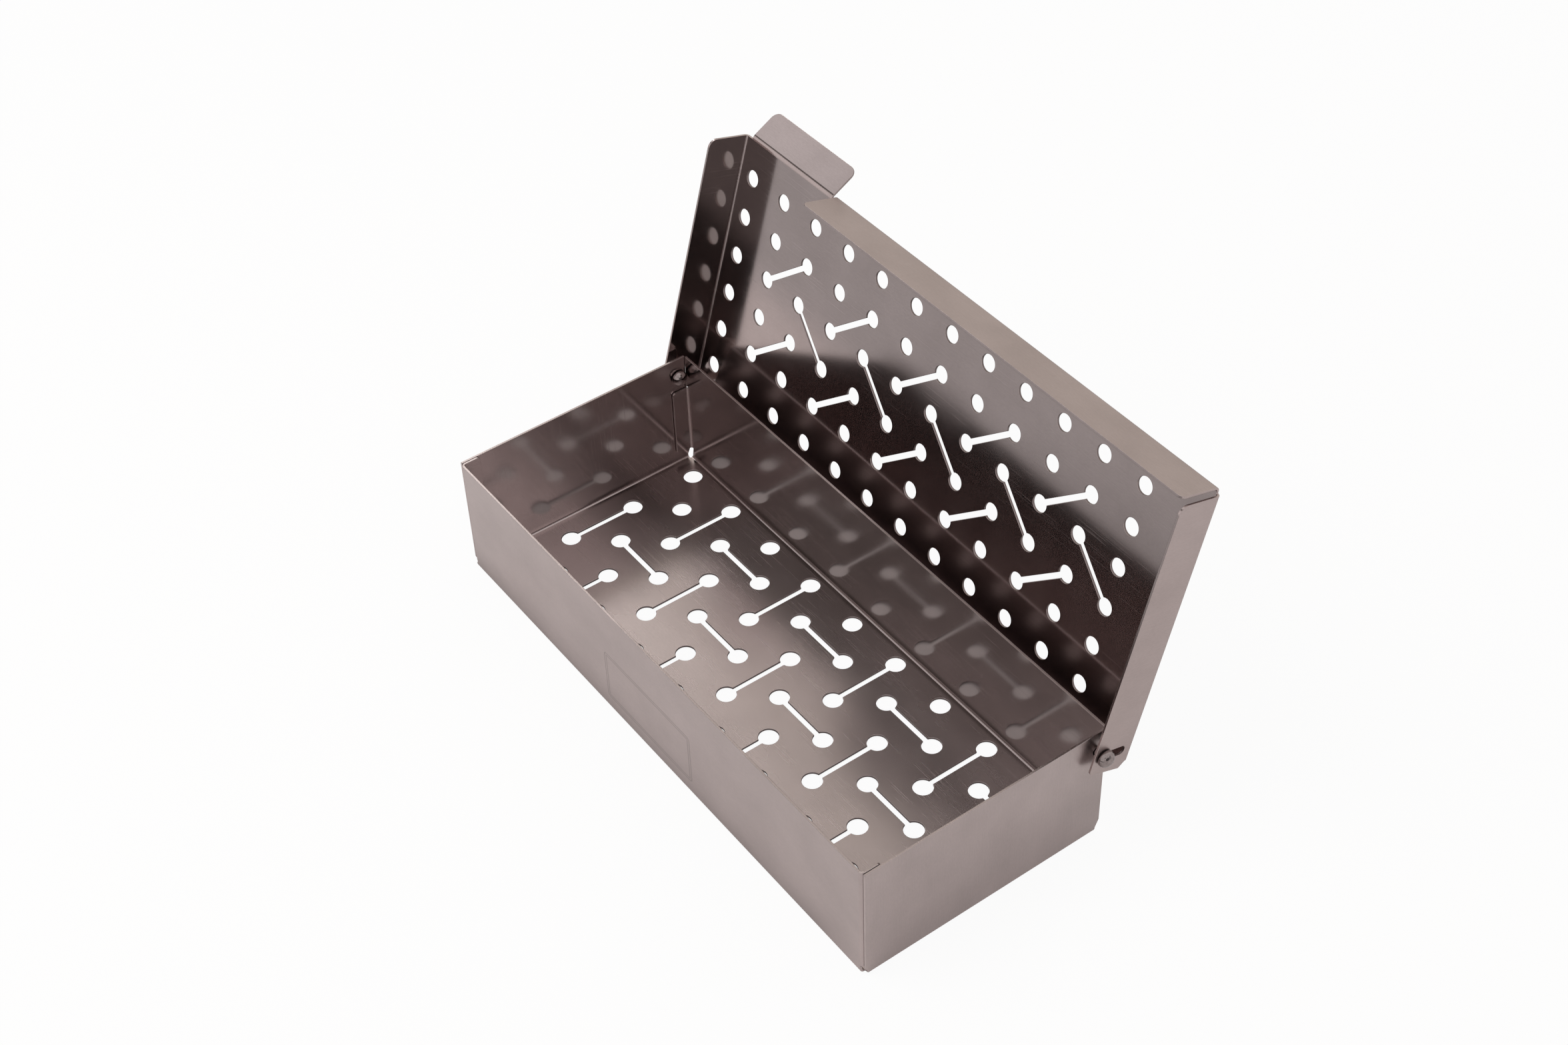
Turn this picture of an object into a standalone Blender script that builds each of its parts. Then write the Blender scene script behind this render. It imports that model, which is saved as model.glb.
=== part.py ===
"""Grill smoker box: a perforated folded sheet tray whose perforated lid turns on two side rivets.

Metres, +Z up. X runs along the box, the lid opens towards +Y, and the origin is the centre of
the tray's underside. The lid stands open, as far as its back lip lets it lean.
"""
import math

import bmesh
import bpy
from mathutils import Vector

for old_object in list(bpy.data.objects):
    bpy.data.objects.remove(old_object, do_unlink=True)

# Sheet and clearances
SHEET = 0.0008
BEND_RADIUS = 0.0008
BEND_STEPS = 4
CORNER_STEPS = 5
HOLE_STEPS = 16
CLEARANCE = 0.0003
CUT_OVERRUN = 0.002
FOLD_OVERLAP = 0.0030

# Tray
TRAY_LENGTH = 0.226
TRAY_DEPTH = 0.094
TRAY_HEIGHT = 0.048
FRONT_RELIEF_MARGIN = 0.0002
FRONT_SHOULDER_RISE = 0.0015
BACK_RELIEF_MARGIN = 0.0004
BACK_SHOULDER_RISE = 0.0032
TAB_WIDTH = 0.0073
TAB_SEAM = 0.0002
BACK_TAB_DROP = 0.0141
TAB_CORNER_RADIUS = 0.0012
SIDE_WALL_SETBACK = 0.0006

# Tray floor holes
FLOOR_HOLE_RADIUS = 0.0035
FLOOR_SLOT_WIDTH = 0.0020
FLOOR_COLUMN_PITCH = 0.0120
FLOOR_ROW_PITCH = 0.0133
FLOOR_COLUMNS = 18
FLOOR_ROWS = 7

# Rivets
RIVET_FROM_BACK = 0.0040
RIVET_FROM_RIM = 0.0080
RIVET_SHANK_RADIUS = 0.0014
RIVET_HEAD_RADIUS = 0.0030
RIVET_HEAD_HEIGHT = 0.0030
RIVET_HEAD_RIM = 0.0005
RIVET_SIDES = 24
RIVET_DOME_STEPS = 5

# Lid
LID_OPEN_ANGLE = math.radians(106.0)
LID_SIDE_GAP = 0.0023
LID_SEAT_CLOSED_GAP = 0.0005
LID_SEAT_OPEN = 0.0118
LID_FRONT_GAP = 0.0050
LID_BACK_REACH = 0.0077
LIP_END_RELIEF = 0.0026
SIDE_FLANGE_DEPTH = 0.0158
SIDE_FLANGE_CORNER_RADIUS = 0.0030
SIDE_FLANGE_BACK_REACH = 0.0064
SIDE_FLANGE_HEEL_RADIUS = 0.0018
SIDE_FOLD_BACK_REACH = 0.0054
HEEL_CHAMFER = 0.0020
HEEL_CHAMFER_RADIUS = 0.0006
FRONT_FLANGE_DEPTH = 0.0150
FRONT_FLANGE_RIGHT_GAP = 0.0015
FRONT_FLANGE_CORNER_RADIUS = 0.0020
SIDE_FLANGE_FRONT_GAP = 0.0014
HANDLE_LEFT_MARGIN = 0.0037
HANDLE_WIDTH = 0.0446
HANDLE_LENGTH = 0.0119
HANDLE_ANGLE = math.radians(45.0)
HANDLE_BEND_RADIUS = 0.0020
HANDLE_BEND_SETBACK = 0.0007
HANDLE_CORNER_RADIUS = 0.0030
HANDLE_FLANGE_GAP = 0.0026
PIN_SLOT_PANEL_GAP = 0.0046

# Lid holes
LID_HOLE_RADIUS = 0.0030
LID_SLOT_WIDTH = 0.0020
LID_COLUMN_PITCH = 0.0180
LID_ROW_PITCH = 0.0150
LID_LEFT_MARGIN = 0.0080
LID_FRONT_MARGIN = 0.0154
LID_COLUMNS = 12
LID_ROWS = 6

# Finish
STEEL_COLOUR = (0.47, 0.41, 0.40, 1.0)
RIVET_COLOUR = (0.50, 0.45, 0.44, 1.0)
SHEET_ROUGHNESS = 0.32
RIVET_ROUGHNESS = 0.18
SMOOTH_ANGLE = math.radians(35.0)

# Derived places
OUTER_BEND = BEND_RADIUS + SHEET
FRONT_RELIEF = OUTER_BEND + FRONT_RELIEF_MARGIN
BACK_RELIEF = OUTER_BEND + BACK_RELIEF_MARGIN
FRONT_SHOULDER = FRONT_RELIEF + FRONT_SHOULDER_RISE
BACK_SHOULDER = BACK_RELIEF + BACK_SHOULDER_RISE
HALF_LENGTH = TRAY_LENGTH / 2
FRONT_Y = -TRAY_DEPTH / 2
BACK_Y = TRAY_DEPTH / 2
HINGE_Y = BACK_Y - RIVET_FROM_BACK
HINGE_Z = TRAY_HEIGHT - RIVET_FROM_RIM
PIN_HOLE_RADIUS = RIVET_SHANK_RADIUS + CLEARANCE
LID_HALF = HALF_LENGTH + LID_SIDE_GAP + SHEET
LID_SEAT_CLOSED = RIVET_FROM_RIM + LID_SEAT_CLOSED_GAP
LID_FRONT = TRAY_DEPTH - RIVET_FROM_BACK + LID_FRONT_GAP
SLIDE_TRAVEL = LID_SEAT_OPEN - LID_SEAT_CLOSED
SLIDE_PER_RADIAN = SLIDE_TRAVEL / LID_OPEN_ANGLE
LEAN = math.pi - LID_OPEN_ANGLE
LIP_END = (RIVET_FROM_BACK + CLEARANCE + LID_BACK_REACH * math.cos(LEAN)) / math.sin(LEAN)


def rounded(value):
    """Snap a coordinate to a tenth of a micrometre, so that faces meant to meet do meet."""
    return round(value, 7)


def place(axis, first, second, along):
    """Return the 3-D point of a profile point, with the profile's plane square to the axis."""
    if axis == "X":
        point = (along, first, second)
    elif axis == "Y":
        point = (first, along, second)
    else:
        point = (first, second, along)
    return Vector([rounded(value) for value in point])


def prism(name, outline, axis, start, end):
    """Extrude a closed outline along an axis, from start to end."""
    shape = bmesh.new()
    ring = [shape.verts.new(place(axis, first, second, start)) for first, second in outline]
    face = shape.faces.new(ring)
    swept = bmesh.ops.extrude_face_region(shape, geom=[face])
    for item in swept["geom"]:
        if isinstance(item, bmesh.types.BMVert):
            position = ring_position(item.co, axis, end)
            item.co = position
    bmesh.ops.recalc_face_normals(shape, faces=shape.faces[:])
    mesh = bpy.data.meshes.new(name)
    shape.to_mesh(mesh)
    shape.free()
    solid = bpy.data.objects.new(name, mesh)
    bpy.context.collection.objects.link(solid)
    return solid


def ring_position(point, axis, along):
    """Move a point along the axis to the given distance."""
    moved = point.copy()
    moved["XYZ".index(axis)] = rounded(along)
    return moved


def folded_outline(path, bend_radius):
    """Return the section of a sheet folded along a centre path, with each fold rounded."""
    corners = [Vector(point) for point in path]
    middle_radius = bend_radius + SHEET / 2
    stations = [(corners[0], (corners[1] - corners[0]).normalized())]
    for before, corner, after in zip(corners, corners[1:], corners[2:]):
        incoming = (corner - before).normalized()
        outgoing = (after - corner).normalized()
        turn = incoming.angle_signed(outgoing)
        side = Vector((incoming.y, -incoming.x)) * math.copysign(1, turn)
        tangent = middle_radius * math.tan(abs(turn) / 2)
        centre = corner - incoming * tangent + side * middle_radius
        for step in range(BEND_STEPS + 1):
            part_turn = turn * step / BEND_STEPS
            heading = turned(incoming, part_turn)
            inward = turned(side, part_turn)
            stations.append((centre - inward * middle_radius, heading))
    stations.append((corners[-1], (corners[-1] - corners[-2]).normalized()))
    left = [point + Vector((-heading.y, heading.x)) * SHEET / 2 for point, heading in stations]
    right = [point - Vector((-heading.y, heading.x)) * SHEET / 2 for point, heading in stations]
    return [tuple(point) for point in left + right[::-1]]


def turned(direction, angle):
    """Turn a 2-D direction clockwise, the sense in which angle_signed counts."""
    cosine = math.cos(angle)
    sine = math.sin(angle)
    return Vector((direction.x * cosine + direction.y * sine, direction.y * cosine - direction.x * sine))


def soft_corners(corners):
    """Return an outline whose listed corners (first, second, radius) are rounded by arcs."""
    outline = []
    count = len(corners)
    for index, (first, second, radius) in enumerate(corners):
        corner = Vector((first, second))
        if radius == 0:
            outline.append((first, second))
            continue
        before = Vector(corners[index - 1][:2])
        after = Vector(corners[(index + 1) % count][:2])
        incoming = (corner - before).normalized()
        outgoing = (after - corner).normalized()
        turn = incoming.angle_signed(outgoing)
        side = Vector((incoming.y, -incoming.x)) * math.copysign(1, turn)
        centre = corner - incoming * radius * math.tan(abs(turn) / 2) + side * radius
        for step in range(CORNER_STEPS + 1):
            inward = turned(side, turn * step / CORNER_STEPS)
            outline.append(tuple(centre - inward * radius))
    return outline


def opening_outline(start, end, radius, slot_width):
    """Return a round hole, or two round holes joined by a narrow slot."""
    start = Vector(start)
    end = Vector(end)
    if start == end:
        angles = [math.tau * step / HOLE_STEPS for step in range(HOLE_STEPS)]
        return [(start.x + radius * math.cos(angle), start.y + radius * math.sin(angle)) for angle in angles]
    mouth = math.asin(slot_width / 2 / radius)
    heading = math.atan2(end.y - start.y, end.x - start.x)
    outline = []
    for centre, facing in ((end, heading + math.pi), (start, heading)):
        for step in range(HOLE_STEPS + 1):
            angle = facing + mouth + (math.tau - 2 * mouth) * step / HOLE_STEPS
            outline.append((centre.x + radius * math.cos(angle), centre.y + radius * math.sin(angle)))
    return outline


def capsule_outline(start, end, radius):
    """Return a straight slot with round ends."""
    start = Vector(start)
    end = Vector(end)
    heading = math.atan2(end.y - start.y, end.x - start.x)
    outline = []
    for centre, facing in ((end, heading - math.pi / 2), (start, heading + math.pi / 2)):
        for step in range(HOLE_STEPS // 2 + 1):
            angle = facing + math.tau * step / HOLE_STEPS
            outline.append((centre.x + radius * math.cos(angle), centre.y + radius * math.sin(angle)))
    return outline


def combine(base, others, operation):
    """Apply Boolean modifiers to the base object, one for each other object, and remove those."""
    for other in others:
        modifier = base.modifiers.new(other.name, "BOOLEAN")
        modifier.object = other
        modifier.operation = operation
        modifier.solver = "EXACT"
    view = bpy.context.evaluated_depsgraph_get()
    result = bpy.data.meshes.new_from_object(base.evaluated_get(view))
    base.modifiers.clear()
    base.data = result
    for other in others:
        bpy.data.objects.remove(other, do_unlink=True)
    return base


def joined(name, pieces):
    """Put separate cutters into one object, so that one Boolean makes all their cuts."""
    shape = bmesh.new()
    for piece in pieces:
        shape.from_mesh(piece.data)
        bpy.data.objects.remove(piece, do_unlink=True)
    mesh = bpy.data.meshes.new(name)
    shape.to_mesh(mesh)
    shape.free()
    cutter = bpy.data.objects.new(name, mesh)
    bpy.context.collection.objects.link(cutter)
    return cutter


def steel(name, colour, roughness):
    """Return a metal material."""
    material = bpy.data.materials.new(name)
    material.use_nodes = True
    shader = material.node_tree.nodes["Principled BSDF"]
    shader.inputs["Base Color"].default_value = colour
    shader.inputs["Metallic"].default_value = 1.0
    shader.inputs["Roughness"].default_value = roughness
    material.diffuse_color = colour
    return material


def finish(piece, name, material):
    """Name a finished piece, give it its material and shade its rounds smooth."""
    piece.name = name
    piece.data.name = name
    piece.data.materials.clear()
    piece.data.materials.append(material)
    piece.data.shade_smooth()
    piece.data.set_sharp_from_angle(angle=SMOOTH_ANGLE)
    return piece


def floor_openings():
    """Return the centre pairs of the tray floor's holes; a plain hole has its centre twice."""
    def centre(column, row):
        return (
            (column - (FLOOR_COLUMNS - 1) / 2) * FLOOR_COLUMN_PITCH,
            ((FLOOR_ROWS - 1) / 2 - row) * FLOOR_ROW_PITCH,
        )

    pairs = []
    for column in range(0, FLOOR_COLUMNS, 2):
        odd = column // 2 % 2
        row_pairs = ((0, 2), (4, 6)) if odd else ((0, 0), (2, 4), (6, 6))
        pairs += [(centre(column, upper), centre(column, lower)) for upper, lower in row_pairs]
    for row in range(1, FLOOR_ROWS, 2):
        outer_row = row != FLOOR_ROWS // 2
        single = 1 if outer_row else FLOOR_COLUMNS - 1
        pairs.append((centre(single, row), centre(single, row)))
        first = 3 if outer_row else 1
        for column in range(first, FLOOR_COLUMNS - 2, 4):
            pairs.append((centre(column, row), centre(column + 2, row)))
    return pairs


def lid_openings():
    """Return the centre pairs of the lid's holes, in the closed lid's plane."""
    def centre(column, row):
        return (
            -LID_HALF + LID_LEFT_MARGIN + column * LID_COLUMN_PITCH,
            -LID_FRONT - SHEET + LID_FRONT_MARGIN + row * LID_ROW_PITCH,
        )

    slots = []
    for column in range(1, LID_COLUMNS - 2, 2):
        slots.append(((column + 1, 1), (column, 2)))
        slots.append(((column + 1, 3), (column, 4)))
        slots.append(((column + 1, 2), (column + 2, 3)))
    slotted = {hole for slot in slots for hole in slot}
    holes = [(column, row) for column in range(LID_COLUMNS) for row in range(LID_ROWS)]
    singles = [(hole, hole) for hole in holes if hole not in slotted]
    return [(centre(*start), centre(*end)) for start, end in singles + slots]


def wall_plate(name, half_width, relief, shoulder, front_y, back_y):
    """Return an upright front or back wall, which starts above its corner reliefs."""
    foot_half_width = HALF_LENGTH - relief
    outline = [
        (-foot_half_width, relief),
        (foot_half_width, relief),
        (half_width, shoulder),
        (half_width, TRAY_HEIGHT),
        (-half_width, TRAY_HEIGHT),
        (-half_width, shoulder),
    ]
    return prism(name, outline, "Y", front_y, back_y)


def pan_half(name, end, relief):
    """Return the front or back half of the floor with the bend up to its wall."""
    wall_y = end * (BACK_Y - SHEET / 2)
    path = [(wall_y, relief), (wall_y, SHEET / 2), (-end * FOLD_OVERLAP, SHEET / 2)]
    foot_half_width = HALF_LENGTH - relief
    return prism(name, folded_outline(path, BEND_RADIUS), "X", -foot_half_width, foot_half_width)


def corner_tab(side, end, shoulder, top):
    """Return the fold and the tab that a front or back wall has inside the end of a side wall."""
    outer_x = HALF_LENGTH - SHEET - TAB_SEAM
    tab_x = outer_x - SHEET / 2
    wall_y = BACK_Y - SHEET / 2
    fold_end = BACK_Y - OUTER_BEND
    path = [
        (side * (outer_x - OUTER_BEND), end * wall_y),
        (side * tab_x, end * wall_y),
        (side * tab_x, end * fold_end),
    ]
    tab = soft_corners([
        (end * fold_end, shoulder, 0),
        (end * (BACK_Y - TAB_WIDTH), shoulder, TAB_CORNER_RADIUS),
        (end * (BACK_Y - TAB_WIDTH), top, TAB_CORNER_RADIUS),
        (end * fold_end, top, 0),
    ])
    return [
        prism("corner_fold", folded_outline(path, BEND_RADIUS), "Z", shoulder, top),
        prism("corner_tab", tab, "X", *sorted((side * (outer_x - SHEET), side * outer_x))),
    ]


def make_tray(material):
    """Return the tray: one folded blank with tabs at its corners and holes in its floor."""
    middle = SHEET / 2
    side_front = FRONT_Y + FRONT_RELIEF
    side_back = BACK_Y - BACK_RELIEF
    wall_x = HALF_LENGTH - middle
    tray = pan_half("tray", -1, FRONT_RELIEF)

    plate_half = HALF_LENGTH - SHEET - TAB_SEAM - OUTER_BEND
    parts = [
        pan_half("floor_back", 1, BACK_RELIEF),
        wall_plate("front_wall", plate_half, FRONT_RELIEF, FRONT_SHOULDER, FRONT_Y, FRONT_Y + SHEET),
        wall_plate("back_wall", plate_half, BACK_RELIEF, BACK_SHOULDER, BACK_Y - SHEET, BACK_Y),
    ]
    back_tab_top = TRAY_HEIGHT - BACK_TAB_DROP
    for side in (-1, 1):
        fold_root = HALF_LENGTH - OUTER_BEND - FOLD_OVERLAP
        fold = [(side * wall_x, FRONT_RELIEF), (side * wall_x, middle), (side * fold_root, middle)]
        parts.append(prism("side_fold", folded_outline(fold, BEND_RADIUS), "Y", side_front, side_back))
        wall_edge = BACK_Y - SIDE_WALL_SETBACK
        wall = [
            (side_front, OUTER_BEND),
            (side_back, OUTER_BEND),
            (side_back, BACK_RELIEF),
            (wall_edge, BACK_SHOULDER),
            (wall_edge, TRAY_HEIGHT),
            (-wall_edge, TRAY_HEIGHT),
            (-wall_edge, FRONT_SHOULDER),
            (side_front, FRONT_RELIEF),
        ]
        inner_x = side * (HALF_LENGTH - SHEET)
        parts.append(prism("side_wall", wall, "X", *sorted((inner_x, side * HALF_LENGTH))))
        parts += corner_tab(side, -1, FRONT_SHOULDER, TRAY_HEIGHT)
        parts += corner_tab(side, 1, BACK_SHOULDER, back_tab_top)
        ear_inner = side * plate_half
        ear_outer = side * (HALF_LENGTH - SHEET - TAB_SEAM)
        ear = [
            (ear_inner, back_tab_top),
            (ear_outer, back_tab_top),
            (ear_outer, TRAY_HEIGHT),
            (ear_inner, TRAY_HEIGHT),
        ]
        parts.append(prism("back_wall_ear", ear, "Y", BACK_Y - SHEET, BACK_Y))
    combine(tray, parts, "UNION")

    cutters = []
    for start, end in floor_openings():
        outline = opening_outline(start, end, FLOOR_HOLE_RADIUS, FLOOR_SLOT_WIDTH)
        cutters.append(prism("floor_hole", outline, "Z", -CUT_OVERRUN, CUT_OVERRUN))
    centre = (HINGE_Y, HINGE_Z)
    pin_hole = opening_outline(centre, centre, PIN_HOLE_RADIUS, 0)
    for side in (-1, 1):
        span = sorted((side * (HALF_LENGTH - SHEET / 2 - CUT_OVERRUN), side * (HALF_LENGTH + CUT_OVERRUN)))
        cutters.append(prism("pin_hole", pin_hole, "X", *span))
    combine(tray, [joined("tray_cutter", cutters)], "DIFFERENCE")
    return finish(tray, "tray", material)


def side_flange(side):
    """Return a lid side flange below its fold, with rounded corners, in the closed lid's frame."""
    top = LID_SEAT_OPEN - BEND_RADIUS
    bottom = LID_SEAT_OPEN - SIDE_FLANGE_DEPTH
    front = -LID_FRONT + SIDE_FLANGE_FRONT_GAP
    outline = soft_corners([
        (front, top, 0),
        (front, bottom, SIDE_FLANGE_CORNER_RADIUS),
        (SIDE_FLANGE_BACK_REACH, bottom, SIDE_FLANGE_HEEL_RADIUS),
        (LID_BACK_REACH, top - HEEL_CHAMFER, HEEL_CHAMFER_RADIUS),
        (SIDE_FOLD_BACK_REACH, top, 0),
    ])
    span = sorted((side * (LID_HALF - SHEET), side * LID_HALF))
    return prism("side_flange", outline, "X", *span)


def edge_strip(name, path, bend_radius, left, right):
    """Return a strip folded along a lengthwise edge of the lid, from left to right."""
    return prism(name, folded_outline(path, bend_radius), "X", left, right)


def make_lid(material):
    """Return the lid in its closed attitude, its origin on the hinge axis, before it is turned open."""
    inner = LID_SEAT_OPEN
    middle = inner + SHEET / 2
    fold_foot = inner - BEND_RADIUS
    wall_x = LID_HALF - SHEET / 2
    panel_front = -LID_FRONT + SIDE_FLANGE_FRONT_GAP
    section = [(-wall_x, fold_foot), (-wall_x, middle), (wall_x, middle), (wall_x, fold_foot)]
    lid = prism("lid", folded_outline(section, BEND_RADIUS), "Y", panel_front, SIDE_FOLD_BACK_REACH)

    front_y = -LID_FRONT - SHEET / 2
    strip_start = panel_front + FOLD_OVERLAP
    flange_left = -LID_HALF + HANDLE_LEFT_MARGIN + HANDLE_WIDTH + HANDLE_FLANGE_GAP
    flange_right = LID_HALF - FRONT_FLANGE_RIGHT_GAP
    flange_fold = [(strip_start, middle), (front_y, middle), (front_y, fold_foot)]
    flange_bottom = inner - FRONT_FLANGE_DEPTH
    flange_face = soft_corners([
        (flange_left, fold_foot, 0),
        (flange_left, flange_bottom, FRONT_FLANGE_CORNER_RADIUS),
        (flange_right, flange_bottom, FRONT_FLANGE_CORNER_RADIUS),
        (flange_right, fold_foot, 0),
    ])
    bend_y = -LID_FRONT + HANDLE_BEND_SETBACK
    tip = (bend_y - HANDLE_LENGTH * math.cos(HANDLE_ANGLE), middle + HANDLE_LENGTH * math.sin(HANDLE_ANGLE))
    handle_left = -LID_HALF + HANDLE_LEFT_MARGIN
    handle = edge_strip(
        "handle", [(strip_start, middle), (bend_y, middle), tip], HANDLE_BEND_RADIUS,
        handle_left, handle_left + HANDLE_WIDTH,
    )
    lip_y = LID_BACK_REACH - SHEET / 2
    lip_half = LID_HALF - LIP_END_RELIEF
    lip_path = [(SIDE_FOLD_BACK_REACH - FOLD_OVERLAP, middle), (lip_y, middle), (lip_y, LIP_END)]
    parts = [
        side_flange(-1),
        side_flange(1),
        edge_strip("flange_fold", flange_fold, BEND_RADIUS, flange_left, flange_right),
        prism("flange_face", flange_face, "Y", -LID_FRONT - SHEET, -LID_FRONT),
        handle,
        edge_strip("back_lip", lip_path, BEND_RADIUS, -lip_half, lip_half),
    ]
    combine(lid, parts, "UNION")

    cutters = handle_corner_cutters(handle_left, bend_y, middle)
    for start, end in lid_openings():
        outline = opening_outline(start, end, LID_HOLE_RADIUS, LID_SLOT_WIDTH)
        cutters.append(prism("lid_hole", outline, "Z", inner - CUT_OVERRUN, inner + CUT_OVERRUN))
    slot = capsule_outline((0, 0), (0, inner - PIN_SLOT_PANEL_GAP), PIN_HOLE_RADIUS)
    for side in (-1, 1):
        span = sorted((side * (LID_HALF - CUT_OVERRUN), side * (LID_HALF + CUT_OVERRUN)))
        cutters.append(prism("pin_slot", slot, "X", *span))
    combine(lid, [joined("lid_cutter", cutters)], "DIFFERENCE")
    lid.location = (0, HINGE_Y, HINGE_Z)
    lid.rotation_euler = (-LID_OPEN_ANGLE, 0, 0)
    return finish(lid, "lid", material)


def handle_corner_cutters(left, bend_y, middle):
    """Return cutters that round the two outer corners of the handle tab."""
    radius = HANDLE_CORNER_RADIUS
    reach = HANDLE_LENGTH
    cutters = []
    for corner_x, inward in ((left, 1), (left + HANDLE_WIDTH, -1)):
        centre_x = corner_x + inward * radius
        centre_reach = reach - radius
        outline = [
            (corner_x - inward * CUT_OVERRUN, centre_reach),
            (corner_x - inward * CUT_OVERRUN, reach + CUT_OVERRUN),
            (centre_x, reach + CUT_OVERRUN),
        ]
        for step in range(CORNER_STEPS + 1):
            angle = math.pi / 2 * step / CORNER_STEPS
            outline.append((centre_x - inward * radius * math.sin(angle), centre_reach + radius * math.cos(angle)))
        cutter = prism("handle_corner", outline, "Z", -CUT_OVERRUN, CUT_OVERRUN)
        for vertex in cutter.data.vertices:
            along = vertex.co.y
            above = vertex.co.z
            vertex.co.y = bend_y - along * math.cos(HANDLE_ANGLE) + above * math.sin(HANDLE_ANGLE)
            vertex.co.z = middle + along * math.sin(HANDLE_ANGLE) + above * math.cos(HANDLE_ANGLE)
        turn_outwards(cutter)
        cutters.append(cutter)
    return cutters


def turn_outwards(piece):
    """Make every face of a closed mesh point outwards."""
    shape = bmesh.new()
    shape.from_mesh(piece.data)
    bmesh.ops.recalc_face_normals(shape, faces=shape.faces[:])
    shape.to_mesh(piece.data)
    shape.free()


def dome(base_x, height):
    """Return the profile (x, radius) of a rivet head from its seat to its crown."""
    direction = math.copysign(1, height)
    rim_x = base_x + direction * RIVET_HEAD_RIM
    rise = abs(height) - RIVET_HEAD_RIM
    profile = [(base_x, RIVET_HEAD_RADIUS)]
    for step in range(RIVET_DOME_STEPS):
        angle = math.pi / 2 * step / RIVET_DOME_STEPS
        profile.append((rim_x + direction * rise * math.sin(angle), RIVET_HEAD_RADIUS * math.cos(angle)))
    return profile, (base_x + height, 0)


def make_rivet(name, side, material):
    """Return one rivet through a tray wall and a lid flange, turned on its own axis."""
    tray_face = HALF_LENGTH - SHEET - CLEARANCE
    lid_face = LID_HALF + CLEARANCE
    inner_head, inner_crown = dome(tray_face - HALF_LENGTH, -RIVET_HEAD_HEIGHT)
    outer_head, outer_crown = dome(lid_face - HALF_LENGTH, RIVET_HEAD_HEIGHT)
    shank = [(inner_head[0][0], RIVET_SHANK_RADIUS), (outer_head[0][0], RIVET_SHANK_RADIUS)]
    profile = [inner_crown] + inner_head[::-1] + shank + outer_head + [outer_crown]
    shape = bmesh.new()
    rings = []
    for along, radius in profile:
        if radius == 0:
            rings.append([shape.verts.new((side * along, 0, 0))])
            continue
        angles = [math.tau * step / RIVET_SIDES for step in range(RIVET_SIDES)]
        rings.append([
            shape.verts.new((side * along, radius * math.cos(angle), radius * math.sin(angle)))
            for angle in angles
        ])
    for near, far in zip(rings, rings[1:]):
        for step in range(RIVET_SIDES):
            following = (step + 1) % RIVET_SIDES
            corners = [near[step % len(near)], near[following % len(near)]]
            corners += [far[following % len(far)], far[step % len(far)]]
            shape.faces.new(list(dict.fromkeys(corners)))
    bmesh.ops.recalc_face_normals(shape, faces=shape.faces[:])
    mesh = bpy.data.meshes.new(name)
    shape.to_mesh(mesh)
    shape.free()
    rivet = bpy.data.objects.new(name, mesh)
    bpy.context.collection.objects.link(rivet)
    rivet.location = (side * HALF_LENGTH, HINGE_Y, HINGE_Z)
    return finish(rivet, name, material)


tray_steel = steel("tray_steel", STEEL_COLOUR, SHEET_ROUGHNESS)
lid_steel = steel("lid_steel", STEEL_COLOUR, SHEET_ROUGHNESS)
rivet_steel = steel("rivet_steel", RIVET_COLOUR, RIVET_ROUGHNESS)
make_tray(tray_steel)
make_lid(lid_steel)
make_rivet("rivet_left", -1, rivet_steel)
make_rivet("rivet_right", 1, rivet_steel)
print("lid slide travel", round(SLIDE_TRAVEL, 6), "m, per radian", round(SLIDE_PER_RADIAN, 7))
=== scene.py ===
"""Looks of the grill smoker box: fine folded sheets, rivets, satin steel and a soft studio.

Each sheet is drawn flat as its blank, with rounded rims and holes, and then folded along its bends.
Lengths are metres in the part's frame. The camera looks at the box as the photograph does.
"""
import math

import bmesh
import bpy
from mathutils import Euler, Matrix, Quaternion, Vector
from mathutils.geometry import delaunay_2d_cdt


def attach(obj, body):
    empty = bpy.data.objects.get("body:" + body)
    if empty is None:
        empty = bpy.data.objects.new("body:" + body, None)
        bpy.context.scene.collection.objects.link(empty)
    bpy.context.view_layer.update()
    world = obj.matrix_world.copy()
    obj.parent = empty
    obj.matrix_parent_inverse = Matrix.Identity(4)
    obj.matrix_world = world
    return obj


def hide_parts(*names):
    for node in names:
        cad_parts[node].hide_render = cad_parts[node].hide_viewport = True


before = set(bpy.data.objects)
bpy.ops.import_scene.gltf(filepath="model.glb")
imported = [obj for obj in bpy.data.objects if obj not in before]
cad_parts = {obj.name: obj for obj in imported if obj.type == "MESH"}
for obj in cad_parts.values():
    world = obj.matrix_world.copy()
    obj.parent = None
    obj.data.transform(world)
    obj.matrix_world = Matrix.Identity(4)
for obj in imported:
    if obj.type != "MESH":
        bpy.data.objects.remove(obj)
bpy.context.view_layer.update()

# Sheet
SHEET = 0.0008
BEND_RADIUS = 0.0008
BEND_STEPS = 9
HOLE_STEPS = 44
CORNER_STEPS = 8
RIM_RADIUS = 0.00012
RIM_STEPS = 3
RIM_CORNER = 0.00035
SLIT = 0.0003
MILLIMETRES = 1000.0
MERGE = 1e-7
TRIANGLE_TOLERANCE = 1e-6
RIGHT_ANGLE = math.pi / 2

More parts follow.
